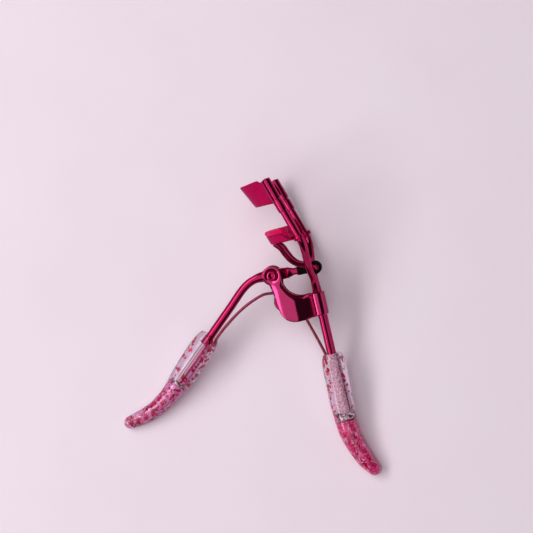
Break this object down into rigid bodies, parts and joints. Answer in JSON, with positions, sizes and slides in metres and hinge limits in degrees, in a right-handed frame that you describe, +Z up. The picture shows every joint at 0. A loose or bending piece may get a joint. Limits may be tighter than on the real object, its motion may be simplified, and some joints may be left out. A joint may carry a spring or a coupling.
{
  "type": "eyelash curler",
  "caption": "Lever eyelash curler: curved upper plate on two rails, sliding padded lower jaw worked by a sprung handle, two curved clear grips.",
  "frame": {"origin": "centre of the curler's bounding box, on the table it lies on", "axes": "+Z up from the table, +Y along the rails from the grips to the jaws as seen from above, +X from the squeezed handle's side towards the rails; the curler leans 9 degrees about X and 7.5 degrees about Y because it rests on its rear ear and both grip tips"},
  "size_m": [0.089, 0.1062, 0.0362],
  "materials": {
    "crimson_metal": "mirror bright crimson plating, slightly softened by lacquer",
    "jaw_plate": "smooth satin to gloss crimson plating on pressed sheet",
    "spring_wire": "crimson plated spring wire, semi gloss",
    "silicone": "translucent soft silicone, smooth",
    "nylon": "black moulded nylon, semi matt",
    "clear_grip": "clear pink-tinted plastic with magenta glitter",
    "grip_core": "pale translucent liner with fine knurling",
    "grip_band": "dark translucent plug"
  },
  "bodies": {
    "frame": {"upper_jaw_plate": "jaw_plate", "front_rail_rod": "crimson_metal", "rear_rail_rod": "crimson_metal", "front_stop_collar": "crimson_metal", "rear_stop_collar": "crimson_metal", "bracket": "crimson_metal", "fulcrum_rivet": "crimson_metal", "return_spring": "spring_wire", "fixed_grip": "clear_grip", "fixed_grip_core": "grip_core", "fixed_grip_band": "grip_band"},
    "lever": {"lever_bar": "crimson_metal", "joint_block": "nylon", "moving_grip": "clear_grip", "moving_grip_core": "grip_core", "moving_grip_band": "grip_band"},
    "lower_jaw": {"jaw_holder": "crimson_metal", "silicone_pad": "silicone", "front_yoke_wire": "crimson_metal", "rear_yoke_wire": "crimson_metal", "yoke_pin": "crimson_metal"}
  },
  "joints": [
    {"name": "lever_hinge", "type": "hinge", "parent": "frame", "child": "lever", "pos_m": [0.02459, 0.02172, 0.01371], "axis": [-0.131, -0.1506, 0.9799], "range_deg": [0, 33], "stiffness_Nm_per_rad": 0.25, "springref_deg": -28.65, "deforming": ["return_spring"]},
    {"name": "jaw_slide", "type": "slide", "parent": "frame", "child": "lower_jaw", "axis": [-0.0199, 0.9886, 0.1493], "range_m": [0, 0.00846]}
  ],
  "couplings": [
    {"joint": "jaw_slide", "follows": "lever_hinge", "m_per_rad": 0.014671}
  ]
}
